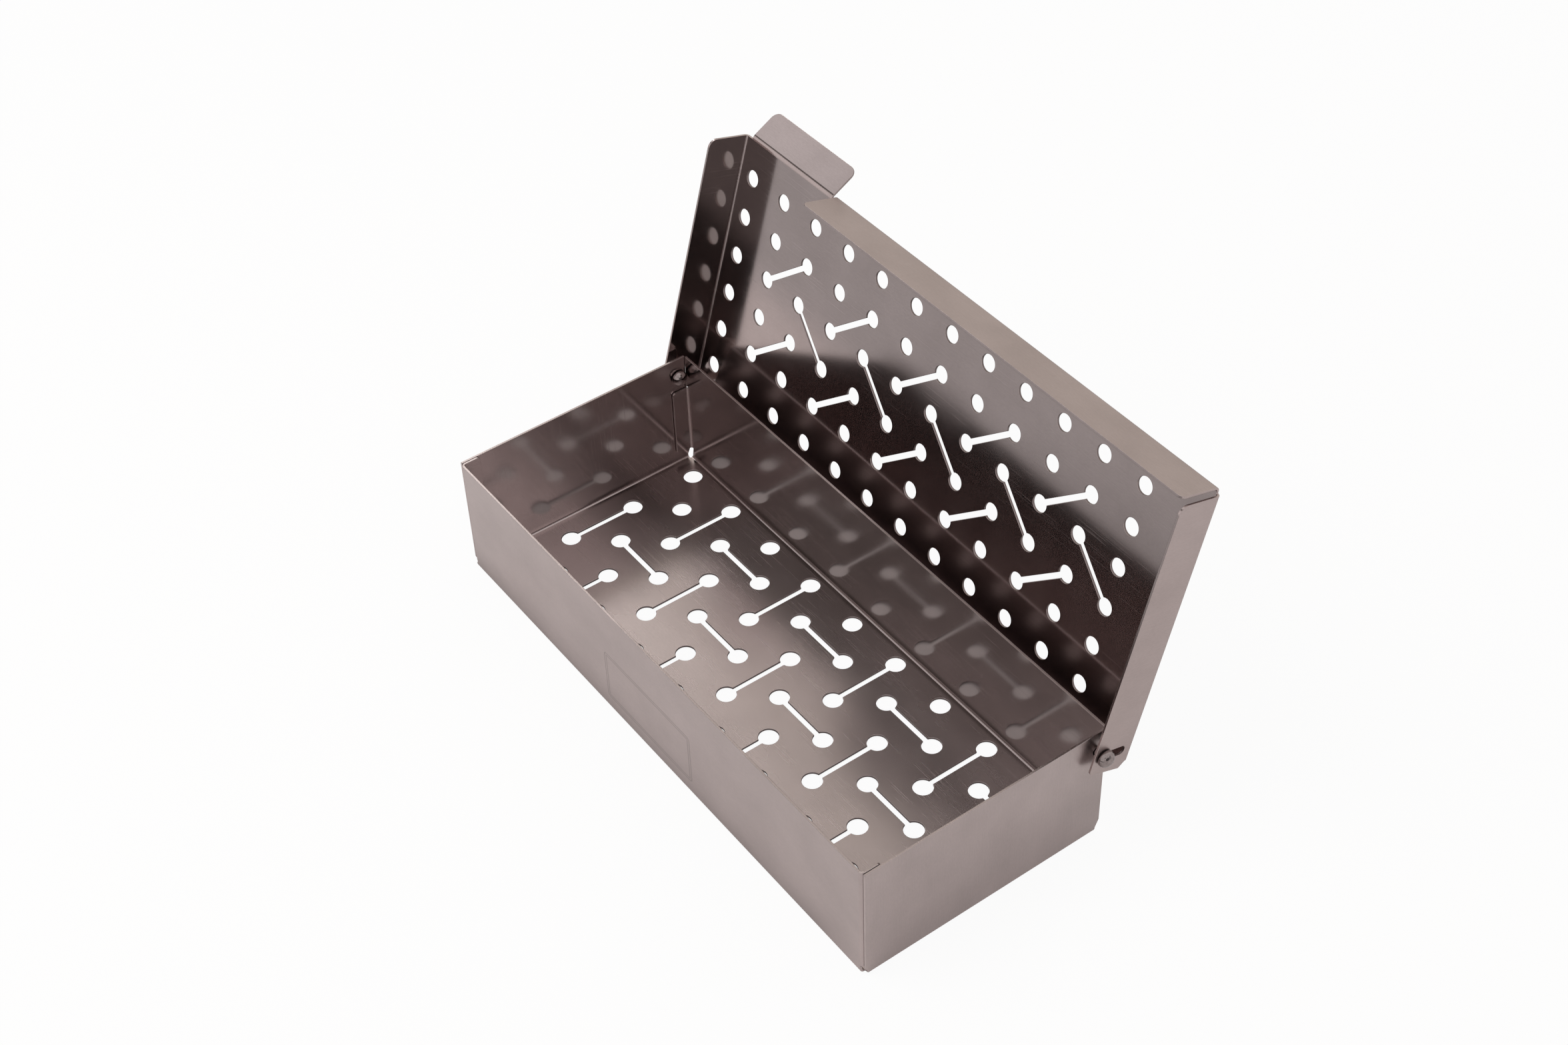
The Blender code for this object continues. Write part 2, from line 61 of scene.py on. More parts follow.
# Tray
TRAY_LENGTH = 0.226
TRAY_DEPTH = 0.094
TRAY_HEIGHT = 0.048
FRONT_RELIEF = 0.0018
FRONT_SHOULDER = 0.0033
BACK_RELIEF = 0.0020
BACK_SHOULDER = 0.0052
TAB_WIDTH = 0.0073
TAB_SEAM = 0.0002
BACK_TAB_DROP = 0.0141
TAB_CORNER_RADIUS = 0.0012
SIDE_WALL_SETBACK = 0.0006
FLOOR_HOLE_RADIUS = 0.0035
FLOOR_SLOT_WIDTH = 0.0020
FLOOR_COLUMN_PITCH = 0.0120
FLOOR_ROW_PITCH = 0.0133
FLOOR_COLUMNS = 18
FLOOR_ROWS = 7

# Rivets
RIVET_FROM_BACK = 0.0040
RIVET_FROM_RIM = 0.0080
RIVET_SHANK_RADIUS = 0.0014
RIVET_HEAD_RADIUS = 0.0030
RIVET_HEAD_HEIGHT = 0.0030
PIN_HOLE_RADIUS = 0.0017
CLEARANCE = 0.0003
RIVET_LIP = 0.0004
RIVET_LIP_STEPS = 4
RIVET_DOME_STEPS = 16
RIVET_SIDES = 64
RIVET_SHARP_ANGLE = math.radians(50.0)

# Lid
LID_OPEN_ANGLE = math.radians(106.0)
LID_SIDE_GAP = 0.0023
LID_SEAT = 0.0118
LID_FRONT_GAP = 0.0050
LID_BACK_REACH = 0.0077
LIP_END = 0.0066813
LIP_END_RELIEF = 0.0026
SIDE_FLANGE_DEPTH = 0.0158
SIDE_FLANGE_CORNER_RADIUS = 0.0030
SIDE_FLANGE_BACK_REACH = 0.0064
SIDE_FLANGE_HEEL_RADIUS = 0.0018
SIDE_FOLD_BACK_REACH = 0.0054
HEEL_CHAMFER = 0.0020
HEEL_CHAMFER_RADIUS = 0.0006
FRONT_FLANGE_DEPTH = 0.0150
FRONT_FLANGE_RIGHT_GAP = 0.0015
FRONT_FLANGE_CORNER_RADIUS = 0.0020
SIDE_FLANGE_FRONT_GAP = 0.0014
HANDLE_LEFT_MARGIN = 0.0037
HANDLE_WIDTH = 0.0446
HANDLE_LENGTH = 0.0119
HANDLE_ANGLE = math.radians(45.0)
HANDLE_BEND_RADIUS = 0.0020
HANDLE_BEND_SETBACK = 0.0007
HANDLE_CORNER_RADIUS = 0.0030
HANDLE_FLANGE_GAP = 0.0026
PIN_SLOT_PANEL_GAP = 0.0046
LID_HOLE_RADIUS = 0.0030
LID_SLOT_WIDTH = 0.0020
LID_COLUMN_PITCH = 0.0180
LID_ROW_PITCH = 0.0150
LID_LEFT_MARGIN = 0.0080
LID_FRONT_MARGIN = 0.0154
LID_COLUMNS = 12
LID_ROWS = 6

# Noise in the sheets: turn in radians, cycles per metre along and across that, detail
GRAIN = (0, (70, 4200), 2)
FLECK = (0, (700, 2100), 3)
CLOUD = (0, (45, 60), 4)
SMUDGE = (0.6, (16, 26), 3)
WAVE = (0.2, (14, 19), 1)
SCRATCH_LINES = ((0.35, (28, 2600), 0), (-0.5, (28, 3100), 0), (1.25, (28, 2900), 0))
SCRATCH_PATCH = ((40, 55), 1)
NOISE_ROUGHNESS = 0.55
TRAY_SEED = 0.31
LID_SEED = 0.77

# Masks on the sheets
SCRATCH_LINE_BAND = (0.70, 0.76)
SCRATCH_PATCH_BAND = (0.50, 0.62)
# CUT_BAND picks out the holes' walls, which get painted shade and more roughness
CUT_BAND = (0.75, 1.0)
# HANDLE_CREASE scales the bend mask on the handle, so its bend gets less painted highlight and
# roughness
HANDLE_CREASE = 0.3

# Colour of the sheets, and how much each noise and mask adds to the tone
TRAY_DARK = (0.40, 0.342, 0.336, 1)
TRAY_LIGHT = (0.52, 0.446, 0.438, 1)
LID_DARK = (0.40, 0.333, 0.324, 1)
LID_LIGHT = (0.52, 0.436, 0.425, 1)
# Painted shade: the darker colour given to the holes' walls and the plate's lines
PAINTED_SHADE_TONE = (0.22, 0.18, 0.175, 1)
TONE_BAND = (0.30, 0.75)
GRAIN_TONE = 0.20
FLECK_TONE = 0.30
CLOUD_TONE = 0.50
SCRATCH_TONE = 0.12
# Painted highlight: bends are made lighter along their crease
CREASE_HIGHLIGHT_TONE = 0.25
# Painted shade: the plate's pressed lines are made darker, besides their bump
PLATE_LINE_SHADE_TONE = -0.70

# Roughness of the sheets, and what each mask adds to it
SMUDGE_BAND = (0.35, 0.70)
SHEET_ROUGHNESS = (0.10, 0.15)
OUTER_ROUGHER = 0.20
FLOOR_ROUGHER = 0.13
CREASE_ROUGHER = 0.18
SCRATCH_ROUGHER = 0.08
CUT_ROUGHER = 0.20

# Relief of the sheets, and what each noise and mask adds to it
RELIEF_HEIGHT = 0.0000002
GRAIN_RELIEF = 0.6
FLECK_RELIEF = 0.5
SCRATCH_RELIEF = -0.8
PLATE_RELIEF = -60.0
FLOOR_RELIEF_SHARE = 0.25
WAVE_HEIGHT = 0.00010

# Thin haze over the steel
HAZE = 0.08
FLOOR_HAZE = 0.12
HAZE_ROUGHNESS = 0.5
HAZE_INDEX = 1.8

# Blank plate on the front wall
PLATE_CENTRE = (-0.00135, 0.01685)
PLATE_HALF = (0.02425, 0.01045)
PLATE_CORNER = 0.0014
PLATE_LINE_GAP = 0.0010
PLATE_LINE = 0.0004
# Share of painted shade mixed into the plate's lines
PLATE_LINE_SHADE_SHARE = 0.40

# Rivet steel: mottled, with its colour kept dark as painted shade for the domes' dark reflections
RIVET_SHADE_DARK = (0.24, 0.205, 0.20, 1)
RIVET_SHADE_LIGHT = (0.33, 0.285, 0.28, 1)
MOTTLE_SCALE = 900.0
MOTTLE_DETAIL = 3.0
MOTTLE_TONE_BAND = (0.35, 0.65)
MOTTLE_ROUGH_BAND = (0.35, 0.70)
RIVET_ROUGHNESS = (0.03, 0.08)
DENT_SCALE = 420.0
DENT_DETAIL = 1.0
DENT_HEIGHT = 0.000008

# Studio and camera
FLOOR_LOW = (-6.0, -6.0)
FLOOR_HIGH = (6.0, 6.0)
FLOOR_Z = -0.0002
FLOOR_SEEN = 0.93
FLOOR_MIRRORED = 0.15
# Painted shade on the floor under and behind the box, seen only in the steel's reflections
FLOOR_PAINTED_SHADE = 0.60
FLOOR_SHADE_SIDE = (0.085, 0.110)
FLOOR_SHADE_FRONT = (-0.055, -0.045)
FLOOR_TONE = (0.92, 0.88, 0.86)
PAPER_SCALE = 30.0
PAPER_DETAIL = 4.0
PAPER_BAND = (0.3, 0.7)
PAPER_SHADE = (0.98, 1.0)
ROOM_LIGHT = 0.65
BACKDROP_TONE = (0.90, 0.87, 0.86)
# Patches of the mirrored sky: azimuth, elevation, full and outer radius in degrees, change of tone
BACKDROP_PATCHES = (
    (-52, 43, 8, 13, (-0.80, -0.78, -0.78)),
    (54, 39.5, 4, 7.8, (-0.89, -0.87, -0.87)),
    (-135, 25, 20, 50, (-0.14, -0.15, -0.20)),
    (-78, 48, 6, 14, (0.02, 0.05, 0.06)),
    (-106, 43, 4, 7, (5.0, 5.0, 5.0)),
    (84, 14, 12, 24, (-0.75, -0.73, -0.72)),
    (118, 16, 12, 22, (-0.42, -0.40, -0.39)),
    (117, 43, 3, 10, (0.28, 0.28, 0.28)),
)
KEY_TONE = (1.0, 0.98, 0.97)
# Glowing card seen only in the steel: painted shade on the floor in front, in reflections
CARD_LOW = (-0.7, -0.7)
CARD_HIGH = (0.5, -0.11)
CARD_Z = 0.0003
CARD_BACK_FADE = 0.04
CARD_SIDE_FADE = 3 * CARD_BACK_FADE
CARD_TONE_REACH = (-0.20, 0.20)
CARD_REFLECTED_SHADES = (0.57, 0.25)
LAMP_AIM = Vector((0.0, 0.0, 0.05))
SENSOR_WIDTH = 36.0
CAMERA_LENS = 56.314
CAMERA_PLACE = (0.464326, -0.314374, 0.607115)
CAMERA_LOOK = (-0.596082, 0.414865, -0.687439)
CAMERA_ROLL = math.radians(-2.25)

# Derived places
MIDDLE_RADIUS = BEND_RADIUS + SHEET / 2
OUTER_BEND = BEND_RADIUS + SHEET
BEND_LENGTH = MIDDLE_RADIUS * RIGHT_ANGLE
FINE_CORNER = RIM_CORNER / 2
SLIT_CORNER = SLIT / 4
HALF_LENGTH = TRAY_LENGTH / 2
HALF_DEPTH = TRAY_DEPTH / 2
FLOOR_X = HALF_LENGTH - OUTER_BEND
FLOOR_Y = HALF_DEPTH - OUTER_BEND
SIDE_WALL_Y = HALF_DEPTH - SIDE_WALL_SETBACK
EAR_X = HALF_LENGTH - SHEET - TAB_SEAM
TAB_BEND_X = EAR_X - OUTER_BEND
TAB_REACH = TAB_BEND_X + BEND_LENGTH + TAB_WIDTH - OUTER_BEND
BACK_TAB_TOP = TRAY_HEIGHT - BACK_TAB_DROP
HINGE_Y = HALF_DEPTH - RIVET_FROM_BACK
HINGE_Z = TRAY_HEIGHT - RIVET_FROM_RIM

LID_HALF = HALF_LENGTH + LID_SIDE_GAP + SHEET
LID_MIDDLE = LID_SEAT + SHEET / 2
LID_FRONT = TRAY_DEPTH - RIVET_FROM_BACK + LID_FRONT_GAP
PANEL_X = LID_HALF - OUTER_BEND
PANEL_FRONT = -LID_FRONT + SIDE_FLANGE_FRONT_GAP
FOLD_FOOT = LID_SEAT - BEND_RADIUS
FLANGE_BEND_Y = -LID_FRONT - SHEET + OUTER_BEND
FLANGE_LEFT = -LID_HALF + HANDLE_LEFT_MARGIN + HANDLE_WIDTH + HANDLE_FLANGE_GAP
FLANGE_RIGHT = LID_HALF - FRONT_FLANGE_RIGHT_GAP
LIP_BEND_Y = LID_BACK_REACH - OUTER_BEND
LIP_X = LID_HALF - LIP_END_RELIEF
HANDLE_LEFT = -LID_HALF + HANDLE_LEFT_MARGIN
HANDLE_RIGHT = HANDLE_LEFT + HANDLE_WIDTH
HANDLE_MIDDLE_RADIUS = HANDLE_BEND_RADIUS + SHEET / 2
HANDLE_TANGENT = HANDLE_MIDDLE_RADIUS * math.tan(HANDLE_ANGLE / 2)
HANDLE_BEND_Y = -LID_FRONT + HANDLE_BEND_SETBACK + HANDLE_TANGENT
HANDLE_BEND_LENGTH = HANDLE_MIDDLE_RADIUS * HANDLE_ANGLE
HANDLE_REACH = HANDLE_BEND_LENGTH + HANDLE_LENGTH - HANDLE_TANGENT


def turned(direction, angle):
    """Turn a 2-D direction clockwise, the sense in which angle_signed counts."""
    cosine, sine = math.cos(angle), math.sin(angle)
    first, second = direction
    return Vector((first * cosine + second * sine, second * cosine - first * sine))


def soft_corners(corners):
    """Return an outline whose corners (first, second, radius) are rounded by arcs."""
    outline = []
    count = len(corners)
    for index, (first, second, radius) in enumerate(corners):
        corner = Vector((first, second))
        before = Vector(corners[index - 1][:2])
        after = Vector(corners[(index + 1) % count][:2])
        incoming = (corner - before).normalized()
        outgoing = (after - corner).normalized()
        turn = incoming.angle_signed(outgoing)
        side = Vector((incoming.y, -incoming.x)) * math.copysign(1, turn)
        centre = corner - incoming * radius * math.tan(abs(turn) / 2) + side * radius
        for step in range(CORNER_STEPS + 1):
            outline.append(centre - turned(side, turn * step / CORNER_STEPS) * radius)
    return outline


def opening_outline(start, end, radius, slot_width):
    """Return a round hole, or two round holes joined by a narrow slot."""
    start = Vector(start)
    end = Vector(end)
    if start == end:
        angles = [math.tau * step / HOLE_STEPS for step in range(HOLE_STEPS)]
        return [start + Vector((math.cos(angle), math.sin(angle))) * radius for angle in angles]
    mouth = math.asin(slot_width / 2 / radius)
    heading = math.atan2(end.y - start.y, end.x - start.x)
    outline = []
    for centre, facing in ((end, heading + math.pi), (start, heading)):
        for step in range(HOLE_STEPS + 1):
            angle = facing + mouth + (math.tau - 2 * mouth) * step / HOLE_STEPS
            outline.append(centre + Vector((math.cos(angle), math.sin(angle))) * radius)
    return outline


def capsule_outline(start, end, radius):
    """Return a straight slot with round ends."""
    start = Vector(start)
    end = Vector(end)
    heading = math.atan2(end.y - start.y, end.x - start.x)
    outline = []
    for centre, facing in ((end, heading - RIGHT_ANGLE), (start, heading + RIGHT_ANGLE)):
        for step in range(HOLE_STEPS // 2 + 1):
            angle = facing + math.tau * step / HOLE_STEPS
            outline.append(centre + Vector((math.cos(angle), math.sin(angle))) * radius)
    return outline


def wound(loop, sense):
    """Return the loop anticlockwise for sense 1 and clockwise for sense -1."""
    doubled_area = sum(a.cross(b) for a, b in zip(loop, loop[1:] + loop[:1]))
    return loop if doubled_area * sense > 0 else loop[::-1]


def inward_offsets(loop):
    """Return, at each corner, the way into the sheet and the mitred step for a unit inset."""
    offsets = []
    for index, corner in enumerate(loop):
        incoming = corner - loop[index - 1]
        outgoing = loop[(index + 1) % len(loop)] - corner
        first = Vector((-incoming.y, incoming.x))
        second = Vector((-outgoing.y, outgoing.x))
        facing = (first + second).normalized()
        first.normalize()
        second.normalize()
        offsets.append((facing, (first + second) / (1 + first.dot(second))))
    return offsets


def flat_sheet(outline, openings):
    """Return the mesh of a flat blank with rounded rims, its middle plane at height 0."""
    half = SHEET / 2
    shape = bmesh.new()
    facing_layer = shape.verts.layers.float_vector.new("facing")
    wall_layer = shape.verts.layers.float.new("hole_wall")
    face_layer = shape.verts.layers.float.new("upper_face")
    profile = []
    for step in range(RIM_STEPS + 1):
        angle = RIGHT_ANGLE * step / RIM_STEPS
        sine = math.sin(angle)
        cosine = math.cos(angle)
        profile.append((RIM_RADIUS * (1 - sine), half - RIM_RADIUS * (1 - cosine), sine, cosine))
    profile += [(inset, -height, out, -up) for inset, height, out, up in reversed(profile)]
    points = []
    borders = []
    upper_ring = []
    lower_ring = []
    loops = [wound(outline, 1)] + [wound(opening, -1) for opening in openings]
    for number, loop in enumerate(loops):
        offsets = inward_offsets(loop)
        rings = []
        for inset, height, out, up in profile:
            ring = []
            for corner, (facing, mitre) in zip(loop, offsets):
                vertex = shape.verts.new((*(corner + mitre * inset), height))
                vertex[facing_layer] = (-facing.x * out, -facing.y * out, up)
                vertex[wall_layer] = out if number else 0.0
                vertex[face_layer] = up / 2 + 0.5
                ring.append(vertex)
            rings.append(ring)
        for upper, lower in zip(rings, rings[1:]):
            for index in range(len(loop)):
                after = (index + 1) % len(loop)
                shape.faces.new((upper[index], lower[index], lower[after], upper[after]))
        border = list(range(len(points), len(points) + len(loop)))
        borders.append(border if number == 0 else border[::-1])
        points += [vertex.co.xy * MILLIMETRES for vertex in rings[0]]
        upper_ring += rings[0]
        lower_ring += rings[-1]
    solved = delaunay_2d_cdt(points, [], borders, 0, TRIANGLE_TOLERANCE)
    triangles, point_sources, border_sources = solved[2], solved[3], solved[5]
    for corners, sources in zip(triangles, border_sources):
        if sources == [0]:
            chosen = [point_sources[corner][0] for corner in corners]
            shape.faces.new([upper_ring[index] for index in chosen])
            shape.faces.new([lower_ring[index] for index in reversed(chosen)])
    return shape


def cut_across(shape, axis, places):
    """Add edges where bends start, turn and end, so that folding moves no face out of true."""
    normal = Vector((axis == "X", axis == "Y", 0))
    for place in places:
        everything = shape.verts[:] + shape.edges[:] + shape.faces[:]
        bmesh.ops.bisect_plane(
            shape, geom=everything, dist=MERGE, plane_co=normal * place, plane_no=normal,
        )


def stations(start, length):
    """Return the places across a bend at which the sheet gets an edge."""
    return [start + length * step / BEND_STEPS for step in range(BEND_STEPS + 1)]


def bend(distance, radius, angle):
    """Return how far along, high, steep and creased a sheet is, past its bend's start."""
    if distance <= 0:
        return distance, 0.0, 0.0, 0.0
    turn = min(distance / radius, angle)
    rest = distance - turn * radius
    along = radius * math.sin(turn) + rest * math.cos(turn)
    rise = radius * (1 - math.cos(turn)) + rest * math.sin(turn)
    return along, rise, turn, math.sin(math.pi * turn / angle)


def added(name, data):
    """Add an object with its mesh, lamp or camera to the scene."""
    thing = bpy.data.objects.new(name, data)
    bpy.context.collection.objects.link(thing)
    return thing


def folded(name, shape, place, pose=None):
    """Fold a flat mesh and add it as a piece.

    For a point of the blank, place gives its spot, directions along u, v and up, and crease.
    """
    crease_layer = shape.verts.layers.float.new("crease")
    facing_layer = shape.verts.layers.float_vector["facing"]
    uv_layer = shape.loops.layers.uv.new("blank")
    for face in shape.faces:
        for corner in face.loops:
            corner[uv_layer].uv = corner.vert.co.xy
    normals = []
    for vertex in shape.verts:
        spot, along_u, along_v, upwards, crease = place(vertex.co.x, vertex.co.y)
        vertex[crease_layer] = crease
        facing = vertex[facing_layer]
        normal = along_u * facing.x + along_v * facing.y + upwards * facing.z
        vertex.co = spot + upwards * vertex.co.z
        if pose is not None:
            vertex.co = pose @ vertex.co
            normal = pose.to_3x3() @ normal
        normals.append(normal.normalized())
    shape.verts.layers.float_vector.remove(facing_layer)
    mesh = bpy.data.meshes.new(name)
    shape.to_mesh(mesh)
    shape.free()
    mesh.shade_smooth()
    mesh.normals_split_custom_set_from_vertices(normals)
    return added(name, mesh)


def end_wall_v(height):
    """Return the distance from the blank's centre line to a height on the front or back wall."""
    return FLOOR_Y + BEND_LENGTH + height - OUTER_BEND


def side_wall_u(height):
    """Return the distance from the blank's centre line to a height on a side wall."""
    return FLOOR_X + BEND_LENGTH + height - OUTER_BEND


def tray_corner(side, end):
    """Return the blank's corners from the side wall's rim round to the front or back wall's rim."""
    relief, top = (FRONT_RELIEF, FRONT_SHOULDER) if end < 0 else (BACK_RELIEF, BACK_SHOULDER)
    foot_x, foot_y = HALF_LENGTH - relief, HALF_DEPTH - relief
    shoulder = end_wall_v(top)
    corners = [
        (side_wall_u(TRAY_HEIGHT), SIDE_WALL_Y, RIM_CORNER),
        (side_wall_u(top), SIDE_WALL_Y, RIM_CORNER),
        (side_wall_u(relief), foot_y, RIM_CORNER),
        (foot_x, foot_y, RIM_CORNER),
        (foot_x, end_wall_v(relief), RIM_CORNER),
        (TAB_BEND_X, shoulder, RIM_CORNER),
        (TAB_REACH, shoulder, TAB_CORNER_RADIUS),
    ]
    if end < 0:
        corners.append((TAB_REACH, end_wall_v(TRAY_HEIGHT), TAB_CORNER_RADIUS))
    else:
        corners += [
            (TAB_REACH, end_wall_v(BACK_TAB_TOP), TAB_CORNER_RADIUS),
            (TAB_BEND_X, end_wall_v(BACK_TAB_TOP), SLIT_CORNER),
            (TAB_BEND_X, end_wall_v(BACK_TAB_TOP + SLIT), SLIT_CORNER),
            (EAR_X, end_wall_v(BACK_TAB_TOP + SLIT), RIM_CORNER),
            (EAR_X, end_wall_v(TRAY_HEIGHT), RIM_CORNER),
        ]
    return [(side * u, end * v, radius) for u, v, radius in corners]


def floor_openings():
    """Return the centre pairs of the tray floor's holes; a plain hole has its centre twice."""
    def centre(column, row):
        return (
            (column - (FLOOR_COLUMNS - 1) / 2) * FLOOR_COLUMN_PITCH,
            ((FLOOR_ROWS - 1) / 2 - row) * FLOOR_ROW_PITCH,
        )

    pairs = []
    for column in range(0, FLOOR_COLUMNS, 2):
        odd = column // 2 % 2
        row_pairs = ((0, 2), (4, 6)) if odd else ((0, 0), (2, 4), (6, 6))
        pairs += [(centre(column, upper), centre(column, lower)) for upper, lower in row_pairs]
    for row in range(1, FLOOR_ROWS, 2):
        outer_row = row != FLOOR_ROWS // 2
        single = 1 if outer_row else FLOOR_COLUMNS - 1
        pairs.append((centre(single, row), centre(single, row)))
        first = 3 if outer_row else 1
        for column in range(first, FLOOR_COLUMNS - 2, 4):
            pairs.append((centre(column, row), centre(column + 2, row)))
    return pairs


def tray_place(u, v):
    """Fold a point of the tray's blank: its four walls, and the tabs at the walls' ends."""
    side = math.copysign(1, u)
    end = math.copysign(1, v)
    out_x = Vector((side, 0, 0))
    base = SHEET / 2
    if abs(u) > FLOOR_X and abs(v) < SIDE_WALL_Y + SLIT:
        along, rise, turn, crease = bend(abs(u) - FLOOR_X, MIDDLE_RADIUS, RIGHT_ANGLE)
        cosine, sine = math.cos(turn), math.sin(turn)
        spot = Vector((side * (FLOOR_X + along), v, base + rise))
        along_u = Vector((cosine, 0, side * sine))
        upwards = Vector((-side * sine, 0, cosine))
        return spot, along_u, Vector((0, 1, 0)), upwards, crease
    along, rise, turn, crease = bend(abs(v) - FLOOR_Y, MIDDLE_RADIUS, RIGHT_ANGLE)
    cosine, sine = math.cos(turn), math.sin(turn)
    spot = Vector((u, end * (FLOOR_Y + along), base + rise))
    along_u = Vector((1, 0, 0))
    along_v = Vector((0, cosine, end * sine))
    upwards = Vector((0, -end * sine, cosine))
    tab_foot, tab_top = (FRONT_SHOULDER, TRAY_HEIGHT) if end < 0 else (BACK_SHOULDER, BACK_TAB_TOP)
    has_tab = end_wall_v(tab_foot) - SLIT < abs(v) < end_wall_v(tab_top) + SLIT / 2
    if abs(u) > TAB_BEND_X and has_tab:
        reach, inward, swing, tab_crease = bend(abs(u) - TAB_BEND_X, MIDDLE_RADIUS, RIGHT_ANGLE)
        spot += out_x * (TAB_BEND_X + reach - abs(u)) + upwards * inward
        along_u = Vector((math.cos(swing), 0, 0)) + upwards * side * math.sin(swing)
        upwards = upwards * math.cos(swing) - out_x * math.sin(swing)
        crease = max(crease, tab_crease)
    return spot, along_u, along_v, upwards, crease


def make_tray():
    """Return the tray, cut, folded and with the hinge holes in its side walls."""
    corners = tray_corner(1, -1)[::-1] + tray_corner(1, 1)
    corners += tray_corner(-1, 1)[::-1] + tray_corner(-1, -1)
    openings = [
        opening_outline(*pair, FLOOR_HOLE_RADIUS, FLOOR_SLOT_WIDTH) for pair in floor_openings()
    ]
    for side in (-1, 1):
        centre = (side * side_wall_u(HINGE_Z), HINGE_Y)
        openings.append(opening_outline(centre, centre, PIN_HOLE_RADIUS, 0))
    shape = flat_sheet(soft_corners(corners), openings)
    for sign in (-1, 1):
        bends = stations(FLOOR_X, BEND_LENGTH) + stations(TAB_BEND_X, BEND_LENGTH)
        cut_across(shape, "X", [sign * place for place in bends])
        cut_across(shape, "Y", [sign * place for place in stations(FLOOR_Y, BEND_LENGTH)])
    return folded("tray_sheet", shape, tray_place)


def lid_openings():
    """Return the centre pairs of the lid's holes, in the closed lid's plane."""
    def centre(column, row):
        return (
            -LID_HALF + LID_LEFT_MARGIN + column * LID_COLUMN_PITCH,
            -LID_FRONT - SHEET + LID_FRONT_MARGIN + row * LID_ROW_PITCH,
        )

    slots = []
    for column in range(1, LID_COLUMNS - 2, 2):
        slots.append(((column + 1, 1), (column, 2)))
        slots.append(((column + 1, 3), (column, 4)))
        slots.append(((column + 1, 2), (column + 2, 3)))
    slotted = {hole for slot in slots for hole in slot}
    holes = [(column, row) for column in range(LID_COLUMNS) for row in range(LID_ROWS)]
    singles = [(hole, hole) for hole in holes if hole not in slotted]
    return [(centre(*start), centre(*end)) for start, end in singles + slots]


def lid_side_u(height):
    """Return the distance from the blank's centre line to a height on a lid side flange."""
    return PANEL_X + BEND_LENGTH + FOLD_FOOT - height


def lid_place(u, v):
    """Fold a point of the closed lid's blank: side flanges, front flange, handle and back lip."""
    side = math.copysign(1, u)
    across = Vector((1, 0, 0))
    if v < HANDLE_BEND_Y and HANDLE_LEFT - MERGE < u < HANDLE_RIGHT + MERGE:
        along, rise, turn, crease = bend(HANDLE_BEND_Y - v, HANDLE_MIDDLE_RADIUS, HANDLE_ANGLE)
        cosine, sine = math.cos(turn), math.sin(turn)
        spot = Vector((u, HANDLE_BEND_Y - along, LID_MIDDLE + rise))
        crease *= HANDLE_CREASE
        return spot, across, Vector((0, cosine, -sine)), Vector((0, sine, cosine)), crease
    if v < FLANGE_BEND_Y:
        along, drop, turn, crease = bend(FLANGE_BEND_Y - v, MIDDLE_RADIUS, RIGHT_ANGLE)
        cosine, sine = math.cos(turn), math.sin(turn)
        spot = Vector((u, FLANGE_BEND_Y - along, LID_MIDDLE - drop))
        return spot, across, Vector((0, cosine, sine)), Vector((0, -sine, cosine)), crease
    if v > LIP_BEND_Y and abs(u) < LIP_X + MERGE:
        along, drop, turn, crease = bend(v - LIP_BEND_Y, MIDDLE_RADIUS, RIGHT_ANGLE)
        cosine, sine = math.cos(turn), math.sin(turn)
        spot = Vector((u, LIP_BEND_Y + along, LID_MIDDLE - drop))
        return spot, across, Vector((0, cosine, -sine)), Vector((0, sine, cosine)), crease
    along, drop, turn, crease = bend(abs(u) - PANEL_X, MIDDLE_RADIUS, RIGHT_ANGLE)
    cosine, sine = math.cos(turn), math.sin(turn)
    spot = Vector((side * (PANEL_X + along), v, LID_MIDDLE - drop))
    along_u = Vector((cosine, 0, -side * sine))
    return spot, along_u, Vector((0, 1, 0)), Vector((side * sine, 0, cosine)), crease


